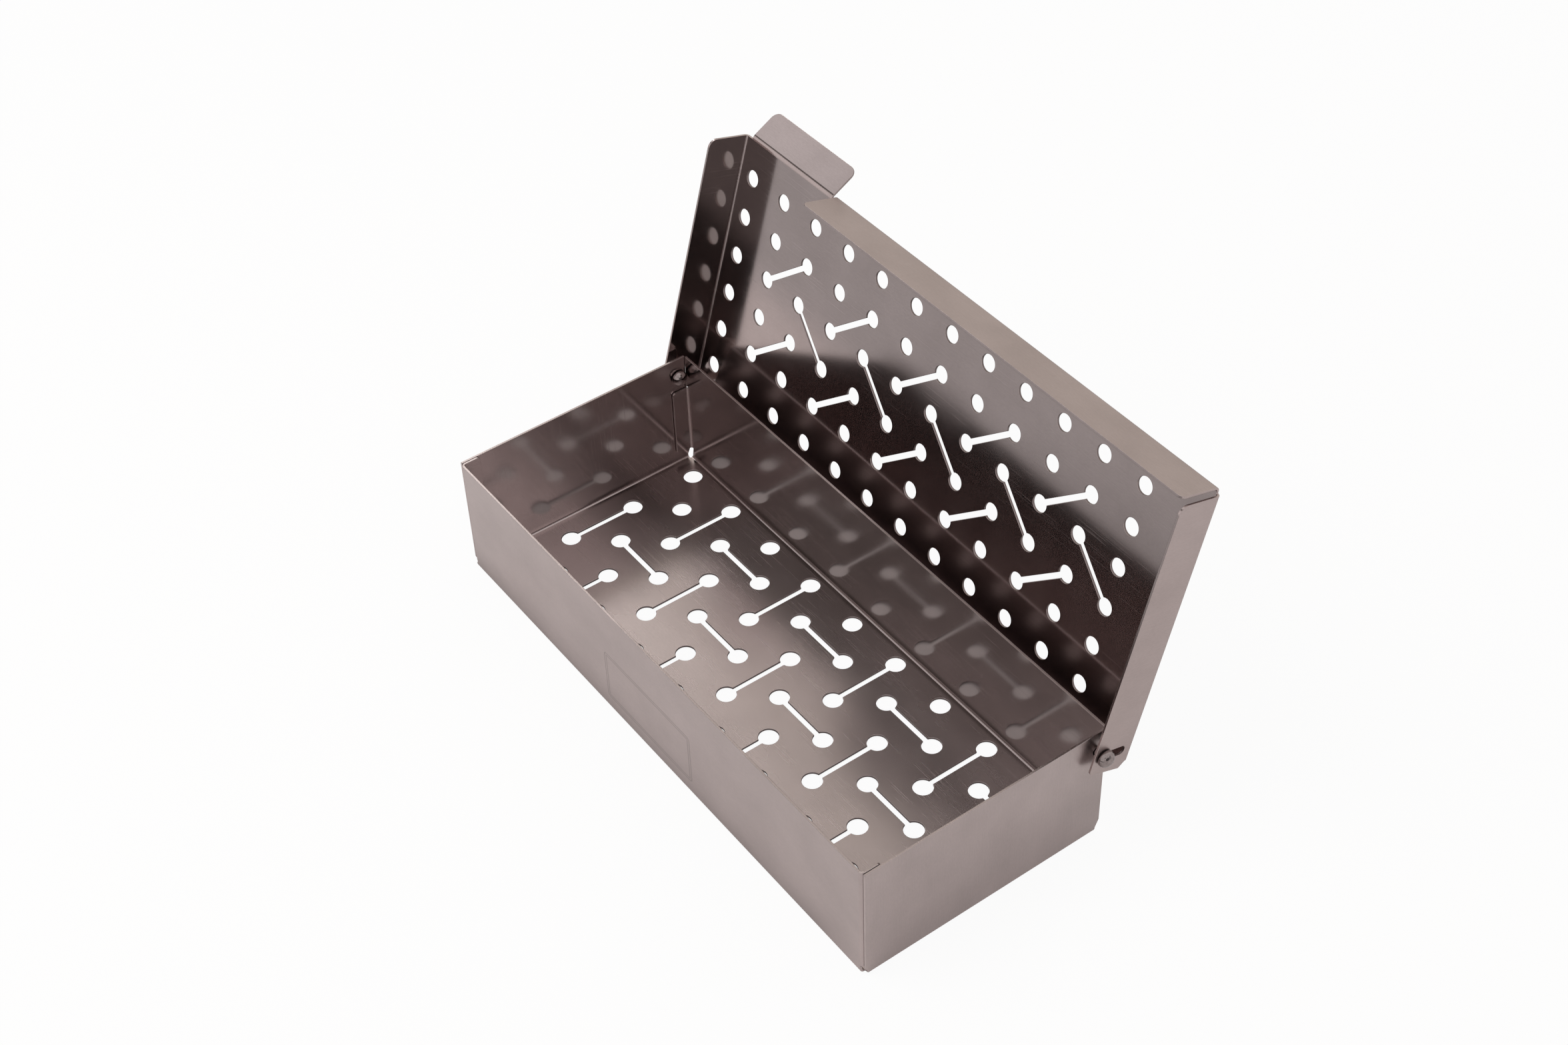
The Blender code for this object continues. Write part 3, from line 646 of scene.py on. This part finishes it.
def make_lid():
    """Return the lid, cut, folded and leaning open on the hinge axis."""
    foot = SIDE_FLANGE_DEPTH - LID_SEAT
    flange_end = FLANGE_BEND_Y - BEND_LENGTH - FOLD_FOOT + LID_SEAT - FRONT_FLANGE_DEPTH
    lip_end = LIP_BEND_Y + BEND_LENGTH + FOLD_FOOT - LIP_END
    side_corners = [
        (LIP_X, SIDE_FOLD_BACK_REACH, RIM_CORNER),
        (lid_side_u(FOLD_FOOT), SIDE_FOLD_BACK_REACH, RIM_CORNER),
        (lid_side_u(FOLD_FOOT - HEEL_CHAMFER), LID_BACK_REACH, HEEL_CHAMFER_RADIUS),
        (lid_side_u(-foot), SIDE_FLANGE_BACK_REACH, SIDE_FLANGE_HEEL_RADIUS),
        (lid_side_u(-foot), PANEL_FRONT, SIDE_FLANGE_CORNER_RADIUS),
    ]
    front_corners = [
        (FLANGE_RIGHT, PANEL_FRONT, RIM_CORNER),
        (FLANGE_RIGHT, flange_end, FRONT_FLANGE_CORNER_RADIUS),
        (FLANGE_LEFT, flange_end, FRONT_FLANGE_CORNER_RADIUS),
        (FLANGE_LEFT, PANEL_FRONT, RIM_CORNER),
        (HANDLE_RIGHT, PANEL_FRONT, FINE_CORNER),
        (HANDLE_RIGHT, HANDLE_BEND_Y - HANDLE_REACH, HANDLE_CORNER_RADIUS),
        (HANDLE_LEFT, HANDLE_BEND_Y - HANDLE_REACH, HANDLE_CORNER_RADIUS),
        (HANDLE_LEFT, PANEL_FRONT, FINE_CORNER),
    ]
    left_corners = [(-u, v, radius) for u, v, radius in reversed(side_corners)]
    lip_corners = [(-LIP_X, lip_end, RIM_CORNER), (LIP_X, lip_end, RIM_CORNER)]
    openings = [opening_outline(*pair, LID_HOLE_RADIUS, LID_SLOT_WIDTH) for pair in lid_openings()]
    slot_end = LID_SEAT - PIN_SLOT_PANEL_GAP
    for side in (-1, 1):
        slot = ((side * lid_side_u(0), 0), (side * lid_side_u(slot_end), 0))
        openings.append(capsule_outline(*slot, PIN_HOLE_RADIUS))
    corners = side_corners + front_corners + left_corners + lip_corners
    shape = flat_sheet(soft_corners(corners), openings)
    for sign in (-1, 1):
        cut_across(shape, "X", [sign * place for place in stations(PANEL_X, BEND_LENGTH)])
    cut_across(shape, "Y", stations(FLANGE_BEND_Y, -BEND_LENGTH))
    cut_across(shape, "Y", stations(HANDLE_BEND_Y, -HANDLE_BEND_LENGTH))
    cut_across(shape, "Y", stations(LIP_BEND_Y, BEND_LENGTH))
    pose = Euler((-LID_OPEN_ANGLE, 0, 0)).to_matrix().to_4x4()
    pose.translation = (0, HINGE_Y, HINGE_Z)
    return folded("lid_sheet", shape, lid_place, pose)


def lathe(name, side, profile):
    """Turn a rivet's profile (x from the box's middle, radius) about the hinge axis."""
    shape = bmesh.new()
    rings = []
    for along, radius in profile:
        if radius == 0:
            rings.append([shape.verts.new((side * along, HINGE_Y, HINGE_Z))])
            continue
        ring = []
        for step in range(RIVET_SIDES):
            angle = math.tau * step / RIVET_SIDES
            across, rise = radius * math.cos(angle), radius * math.sin(angle)
            ring.append(shape.verts.new((side * along, HINGE_Y + across, HINGE_Z + rise)))
        rings.append(ring)
    for near, far in zip(rings, rings[1:]):
        for step in range(RIVET_SIDES):
            after = (step + 1) % RIVET_SIDES
            corners = [near[step % len(near)], near[after % len(near)]]
            corners += [far[after % len(far)], far[step % len(far)]]
            shape.faces.new(list(dict.fromkeys(corners)))
    bmesh.ops.recalc_face_normals(shape, faces=shape.faces[:])
    mesh = bpy.data.meshes.new(name)
    shape.to_mesh(mesh)
    shape.free()
    mesh.shade_smooth()
    mesh.set_sharp_from_angle(angle=RIVET_SHARP_ANGLE)
    return added(name, mesh)


def head_profile(seat, direction):
    """Return a domed head's profile from its seat to its crown, with a small soft lip."""
    points = [(seat, RIVET_HEAD_RADIUS - RIVET_LIP)]
    for step in range(1, RIVET_LIP_STEPS + 1):
        angle = RIGHT_ANGLE * step / RIVET_LIP_STEPS
        reach = RIVET_HEAD_RADIUS - RIVET_LIP * (1 - math.sin(angle))
        points.append((seat + direction * RIVET_LIP * (1 - math.cos(angle)), reach))
    rise = RIVET_HEAD_HEIGHT - RIVET_LIP
    for step in range(1, RIVET_DOME_STEPS):
        angle = RIGHT_ANGLE * step / RIVET_DOME_STEPS
        spot = seat + direction * (RIVET_LIP + rise * math.sin(angle))
        points.append((spot, RIVET_HEAD_RADIUS * math.cos(angle)))
    return points + [(seat + direction * RIVET_HEAD_HEIGHT, 0)]


def make_rivet(name, side):
    """Return a rivet: a domed head inside the tray's wall, a shank, and a head outside the lid."""
    inner = head_profile(HALF_LENGTH - SHEET - CLEARANCE, -1)
    outer = head_profile(LID_HALF + CLEARANCE, 1)
    shank = [(inner[0][0], RIVET_SHANK_RADIUS), (outer[0][0], RIVET_SHANK_RADIUS)]
    return lathe(name, side, inner[::-1] + shank + outer)


def feed(tree, node, **sockets):
    """Link or set a node's sockets: in0 is the first, and a name has underscores for spaces."""
    for key, value in sockets.items():
        target = node.inputs[int(key[2:]) if key.startswith("in") else key.replace("_", " ")]
        if isinstance(value, bpy.types.NodeSocket):
            tree.links.new(value, target)
        else:
            target.default_value = value


def add_node(tree, kind, settings=None, **sockets):
    """Add a shader node with its settings, and feed its sockets."""
    made = tree.nodes.new("ShaderNode" + kind)
    for key, value in (settings or {}).items():
        setattr(made, key, value)
    feed(tree, made, **sockets)
    return made


def stretched_noise(tree, vector, turn, cycles, detail):
    """Return noise drawn out along a direction in the blank."""
    placed = add_node(
        tree, "Mapping", Vector=vector, Rotation=(0, 0, turn), Scale=(*cycles, 1),
    ).outputs[0]
    return add_node(
        tree, "TexNoise", Vector=placed, Scale=1.0, Detail=detail, Roughness=NOISE_ROUGHNESS,
    ).outputs["Fac"]


def ranged(tree, value, low, high, out_low, out_high):
    """Return a value mapped from one range to another, smoothly and clamped."""
    return add_node(
        tree, "MapRange", {"interpolation_type": "SMOOTHSTEP", "clamp": True},
        in0=value, in1=low, in2=high, in3=out_low, in4=out_high,
    ).outputs[0]


def combined(tree, operation, first, second=0.0):
    """Return the result of a math node."""
    return add_node(tree, "Math", {"operation": operation}, in0=first, in1=second).outputs[0]


def weighted(tree, total, *parts):
    """Return a total, which may start as None, with values times their shares added in turn."""
    for value, share in parts:
        part = combined(tree, "MULTIPLY", value, share)
        total = part if total is None else combined(tree, "ADD", total, part)
    return total


def vector_math(tree, operation, first, second=(0, 0, 0)):
    """Return the outputs of a vector math node: a vector is the first, and a number is Value."""
    return add_node(tree, "VectorMath", {"operation": operation}, in0=first, in1=second).outputs


def scaled(tree, vector, share):
    """Return a vector or colour times a share."""
    return add_node(tree, "VectorMath", {"operation": "SCALE"}, in0=vector, Scale=share).outputs[0]


def colour_between(tree, value, band, dark, light):
    """Return a colour that goes from dark to light as a value crosses a band."""
    ramp = add_node(tree, "ValToRGB", Fac=value)
    for stop, position, colour in zip(ramp.color_ramp.elements, band, (dark, light)):
        stop.position = position
        stop.color = colour
    return ramp.outputs[0]


def attribute(tree, name):
    """Return a mesh attribute."""
    return add_node(tree, "Attribute", {"attribute_name": name}).outputs["Fac"]


def object_place(tree):
    """Return a point's place in its object, as outputs X, Y and Z."""
    spot = add_node(tree, "TexCoord").outputs["Object"]
    return add_node(tree, "SeparateXYZ", Vector=spot).outputs


def ray_kinds(tree):
    """Return a mask of the rays from the camera or through glass, and one of the rays off metal."""
    path = add_node(tree, "LightPath").outputs
    direct = combined(tree, "MAXIMUM", path["Is Camera Ray"], path["Is Transmission Ray"])
    return direct, path["Is Glossy Ray"]


def empty_tree(block):
    """Return the emptied node tree of a new material or world."""
    block.use_nodes = True
    block.node_tree.nodes.clear()
    return block.node_tree


def new_metal(name):
    """Return a new material, its node tree and its metal shader."""
    material = bpy.data.materials.new(name)
    tree = empty_tree(material)
    shader = add_node(tree, "BsdfPrincipled", Metallic=1.0)
    add_node(tree, "OutputMaterial", Surface=shader.outputs[0])
    return material, tree, shader


def plate_lines(tree, blank):
    """Return 1 on the two fine rounded lines of the blank plate, and 0 elsewhere."""
    across, height = PLATE_CENTRE
    half_gap = PLATE_LINE_GAP / 2
    to_centre = (-across, end_wall_v(height), 0)
    moved = add_node(tree, "Mapping", Vector=blank, Location=to_centre).outputs[0]
    quarter = vector_math(tree, "ABSOLUTE", moved)[0]
    reach = [half - PLATE_CORNER for half in PLATE_HALF]
    past = vector_math(tree, "SUBTRACT", quarter, (*reach, 0))[0]
    outside = vector_math(tree, "LENGTH", vector_math(tree, "MAXIMUM", past)[0])["Value"]
    parts = add_node(tree, "SeparateXYZ", Vector=past).outputs
    inside = combined(tree, "MAXIMUM", parts["X"], parts["Y"])
    inside = combined(tree, "MINIMUM", inside, 0.0)
    distance = combined(tree, "ADD", outside, inside)
    distance = combined(tree, "ADD", distance, half_gap - PLATE_CORNER)
    distance = combined(tree, "SUBTRACT", combined(tree, "ABSOLUTE", distance), half_gap)
    return ranged(tree, combined(tree, "ABSOLUTE", distance), 0.0, PLATE_LINE, 1.0, 0.0)


def sheet_masks(tree, blank, is_tray):
    """Return masks of the outer face, the blank plate's lines and the tray floor's inside."""
    upper = attribute(tree, "upper_face")
    if not is_tray:
        return upper, 0.0, 0.0
    outer = combined(tree, "SUBTRACT", 1.0, upper)
    plate = combined(tree, "MULTIPLY", plate_lines(tree, blank), outer)
    reach = add_node(tree, "SeparateXYZ", Vector=blank).outputs
    across, along = (
        ranged(tree, combined(tree, "ABSOLUTE", reach[axis]), edge - BEND_LENGTH, edge, 1.0, 0.0)
        for axis, edge in (("X", FLOOR_X), ("Y", FLOOR_Y))
    )
    inner_floor = combined(tree, "MULTIPLY", combined(tree, "MULTIPLY", across, along), upper)
    return outer, plate, inner_floor


def scratch_mask(tree, vector):
    """Return 1 on hairline scratches, which lie in patches, and 0 elsewhere."""
    mask = 0.0
    for turn, cycles, detail in SCRATCH_LINES:
        line = stretched_noise(tree, vector, turn, cycles, detail)
        line = ranged(tree, line, *SCRATCH_LINE_BAND, 0.0, 1.0)
        patch = stretched_noise(tree, vector, turn, *SCRATCH_PATCH)
        patch = ranged(tree, patch, *SCRATCH_PATCH_BAND, 0.0, 1.0)
        mask = combined(tree, "MAXIMUM", mask, combined(tree, "MULTIPLY", line, patch))
    return mask


def sheet_steel(name, seed, dark, light, is_tray):
    """Return satin sheet: rolling grain, cloudy tone, smudges, scratches, painted shade on hole
    walls and plate lines, and rough bends with a painted highlight.
    """
    material, tree, shader = new_metal(name)
    blank = add_node(tree, "UVMap", {"uv_map": "blank"}).outputs[0]
    moved = add_node(tree, "Mapping", Vector=blank, Location=(seed, seed * 2, 0)).outputs[0]
    grain, fleck, cloud, smudge, wave = (
        stretched_noise(tree, moved, *noise) for noise in (GRAIN, FLECK, CLOUD, SMUDGE, WAVE)
    )
    scratches = scratch_mask(tree, moved)
    # Bend mask: a painted highlight and more roughness along the bends
    crease = attribute(tree, "crease")
    # Mask of the holes' walls, used for painted shade and for roughness
    cut = ranged(tree, attribute(tree, "hole_wall"), *CUT_BAND, 0.0, 1.0)
    outer, plate, inner_floor = sheet_masks(tree, blank, is_tray)

    tone = weighted(
        tree, None, (grain, GRAIN_TONE), (fleck, FLECK_TONE), (cloud, CLOUD_TONE),
        (scratches, SCRATCH_TONE), (crease, CREASE_HIGHLIGHT_TONE), (plate, PLATE_LINE_SHADE_TONE),
    )
    sheet = colour_between(tree, tone, TONE_BAND, dark, light)
    # Painted shade: the holes' walls and the plate's lines are mixed towards a darker tone
    lines = combined(tree, "MULTIPLY", plate, PLATE_LINE_SHADE_SHARE)
    colour = add_node(
        tree, "Mix", {"data_type": "RGBA"},
        Factor=combined(tree, "MAXIMUM", cut, lines), in6=sheet, in7=PAINTED_SHADE_TONE,
    ).outputs[2]

    rough = weighted(
        tree, ranged(tree, smudge, *SMUDGE_BAND, *SHEET_ROUGHNESS),
        (outer, OUTER_ROUGHER), (inner_floor, FLOOR_ROUGHER), (crease, CREASE_ROUGHER),
        (scratches, SCRATCH_ROUGHER), (cut, CUT_ROUGHER),
    )

    relief = weighted(
        tree, None, (grain, GRAIN_RELIEF), (fleck, FLECK_RELIEF),
        (scratches, SCRATCH_RELIEF), (plate, PLATE_RELIEF),
    )
    haze = HAZE
    if is_tray:
        haze = ranged(tree, inner_floor, 0.0, 1.0, HAZE, FLOOR_HAZE)
        floor_share = ranged(tree, inner_floor, 0.0, 1.0, 1.0, FLOOR_RELIEF_SHARE)
        relief = combined(tree, "MULTIPLY", relief, floor_share)
    waviness = add_node(tree, "Bump", Strength=1.0, Distance=WAVE_HEIGHT, Height=wave).outputs[0]
    bump = add_node(
        tree, "Bump", Strength=1.0, Distance=RELIEF_HEIGHT, Height=relief, Normal=waviness,
    ).outputs[0]

    feed(
        tree, shader, Base_Color=colour, Roughness=rough, Normal=bump,
        Coat_Weight=haze, Coat_Roughness=HAZE_ROUGHNESS, Coat_IOR=HAZE_INDEX,
    )
    return material


def rivet_steel():
    """Return polished rivet steel, faintly mottled and dented, its colour darkened as painted
    shade.
    """
    material, tree, shader = new_metal("polished_rivet_steel")
    spot = add_node(tree, "TexCoord").outputs["Object"]
    mottle, dents = (
        add_node(tree, "TexNoise", Vector=spot, Scale=scale, Detail=detail).outputs["Fac"]
        for scale, detail in ((MOTTLE_SCALE, MOTTLE_DETAIL), (DENT_SCALE, DENT_DETAIL))
    )
    # Painted shade: the rivet's mottled colour is kept dark
    colour = colour_between(tree, mottle, MOTTLE_TONE_BAND, RIVET_SHADE_DARK, RIVET_SHADE_LIGHT)
    rough = ranged(tree, mottle, *MOTTLE_ROUGH_BAND, *RIVET_ROUGHNESS)
    bump = add_node(tree, "Bump", Strength=1.0, Distance=DENT_HEIGHT, Height=dents).outputs[0]
    feed(tree, shader, Base_Color=colour, Roughness=rough, Normal=bump)
    return material


def dress(piece, material, node, body):
    """Give a piece its material, let it stand for its CAD node and ride on its body."""
    piece.data.materials.append(material)
    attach(piece, body)
    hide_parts(node)


def mix_output(tree, share, first, second):
    """Give a material its first shader where a share is 0 and its second where it is 1."""
    mixed = add_node(tree, "MixShader", Fac=share, in1=first.outputs[0], in2=second.outputs[0])
    add_node(tree, "OutputMaterial", Surface=mixed.outputs[0])


def flat_piece(name, low, high, height, material):
    """Add a flat rectangle with its material."""
    (left, front), (right, back) = low, high
    corners = [(left, front), (right, front), (right, back), (left, back)]
    mesh = bpy.data.meshes.new(name)
    mesh.from_pydata([(*corner, height) for corner in corners], [], [(0, 1, 2, 3)])
    mesh.materials.append(material)
    return added(name, mesh)


def make_floor():
    """Add the pale floor with the box's shadow; a painted shade dims it behind and under the box
    where the steel mirrors it.
    """
    material = bpy.data.materials.new("pale_floor")
    tree = empty_tree(material)
    place = object_place(tree)
    direct, glossy = ray_kinds(tree)
    # Painted shade: the floor under and behind the box is darker for rays off the steel
    painted_shade = combined(
        tree, "MULTIPLY", ranged(tree, place["X"], *FLOOR_SHADE_SIDE, 1.0 - FLOOR_PAINTED_SHADE, 0.0),
        ranged(tree, place["Y"], *FLOOR_SHADE_FRONT, 0.0, 1.0),
    )
    kept = combined(tree, "SUBTRACT", 1.0, combined(tree, "MULTIPLY", painted_shade, glossy))
    paper = add_node(tree, "TexNoise", Scale=PAPER_SCALE, Detail=PAPER_DETAIL).outputs["Fac"]
    shade = combined(tree, "MULTIPLY", ranged(tree, paper, *PAPER_BAND, *PAPER_SHADE), kept)
    share = weighted(tree, None, (direct, FLOOR_SEEN), (glossy, FLOOR_MIRRORED))
    share = combined(tree, "MULTIPLY", share, kept)
    diffuse = add_node(tree, "BsdfDiffuse", Color=scaled(tree, FLOOR_TONE, shade))
    mix_output(tree, share, diffuse, add_node(tree, "Emission", Strength=1.0))
    floor = flat_piece("floor", FLOOR_LOW, FLOOR_HIGH, FLOOR_Z, material)


def make_reflected_shade_card():
    """Add a glowing grey card flat on the floor in front, which only the steel mirrors: a painted
    reflection of shade on the floor there.
    """
    material = bpy.data.materials.new("reflected_shade_card")
    tree = empty_tree(material)
    place = object_place(tree)
    right, back = CARD_HIGH
    fade = combined(
        tree, "MULTIPLY", ranged(tree, place["Y"], back - CARD_BACK_FADE, back, 1.0, 0.0),
        ranged(tree, place["X"], right - CARD_SIDE_FADE, right, 1.0, 0.0),
    )
    # Painted reflected shade: the card's glow gets darker towards the right
    tone = ranged(tree, place["X"], *CARD_TONE_REACH, *CARD_REFLECTED_SHADES)
    grey = add_node(tree, "Emission", Strength=tone)
    mix_output(tree, fade, add_node(tree, "BsdfTransparent"), grey)
    card = flat_piece("reflected_shade_card", CARD_LOW, CARD_HIGH, CARD_Z, material)
    card.visible_camera = card.visible_diffuse = card.visible_shadow = False
    card.visible_transmission = False


def sky_way(azimuth, elevation):
    """Return the direction at an azimuth, 0 in front and 90 to the right, and an elevation."""
    turn, rise = math.radians(azimuth), math.radians(elevation)
    level = math.cos(rise)
    return Vector((math.sin(turn) * level, -math.cos(turn) * level, math.sin(rise)))


def sky_patch(tree, way, azimuth, elevation, inner, outer):
    """Return 1 inside a round patch of the sky and 0 outside it, from angles in degrees."""
    near = vector_math(tree, "DOT_PRODUCT", way, sky_way(azimuth, elevation))["Value"]
    edges = [math.cos(math.radians(radius)) for radius in (outer, inner)]
    return ranged(tree, near, *edges, 0.0, 1.0)


def make_world():
    """Add the surroundings: white to the camera, a patched studio to the steel, else a room."""
    world = bpy.data.worlds.new("studio")
    tree = empty_tree(world)
    direct, glossy = ray_kinds(tree)
    way = add_node(tree, "TexCoord").outputs["Generated"]
    tone = BACKDROP_TONE
    for *place, change in BACKDROP_PATCHES:
        step = scaled(tree, change, sky_patch(tree, way, *place))
        tone = vector_math(tree, "ADD", tone, step)[0]
    white = (1, 1, 1, 1)
    room, mirrored, backdrop = (
        add_node(tree, "Background", Color=colour, Strength=strength).outputs[0]
        for colour, strength in ((white, ROOM_LIGHT), (tone, 1.0), (white, 1.0))
    )
    indoors = add_node(tree, "MixShader", Fac=glossy, in1=room, in2=mirrored).outputs[0]
    mixed = add_node(tree, "MixShader", Fac=direct, in1=indoors, in2=backdrop)
    add_node(tree, "OutputWorld", Surface=mixed.outputs[0])
    bpy.context.scene.world = world


def softbox(name, azimuth, elevation, distance, size, power):
    """Add a soft lamp that faces the box and isn't mirrored in the steel."""
    data = bpy.data.lights.new(name, "AREA")
    data.shape = "RECTANGLE"
    data.size, data.size_y = size
    data.energy = power
    data.color = KEY_TONE
    lamp = added(name, data)
    lamp.visible_glossy = False
    away = sky_way(azimuth, elevation)
    lamp.location = LAMP_AIM + away * distance
    lamp.rotation_euler = (-away).to_track_quat("-Z", "Y").to_euler()


def make_camera():
    """Add the camera where the photograph was taken from."""
    data = bpy.data.cameras.new("camera")
    data.sensor_width = SENSOR_WIDTH
    data.lens = CAMERA_LENS
    camera = added("camera", data)
    camera.location = CAMERA_PLACE
    camera.rotation_mode = "QUATERNION"
    level = Vector(CAMERA_LOOK).to_track_quat("-Z", "Y")
    camera.rotation_quaternion = level @ Quaternion((0, 0, 1), CAMERA_ROLL)
    bpy.context.scene.camera = camera


tray_sheet = make_tray()
lid_sheet = make_lid()
left_rivet = make_rivet("rivet_left_polished", -1)
right_rivet = make_rivet("rivet_right_polished", 1)
polished = rivet_steel()
tray_steel = sheet_steel("satin_tray_steel", TRAY_SEED, TRAY_DARK, TRAY_LIGHT, True)
lid_steel = sheet_steel("satin_lid_steel", LID_SEED, LID_DARK, LID_LIGHT, False)
dress(tray_sheet, tray_steel, "tray", "tray")
dress(lid_sheet, lid_steel, "lid", "lid")
dress(left_rivet, polished, "rivet_left", "rivets")
dress(right_rivet, polished, "rivet_right", "rivets")

make_floor()
make_reflected_shade_card()
make_world()
softbox("key", azimuth=-25, elevation=58, distance=1.2, size=(0.7, 0.7), power=5.0)
make_camera()
bpy.context.scene.view_settings.view_transform = "Standard"
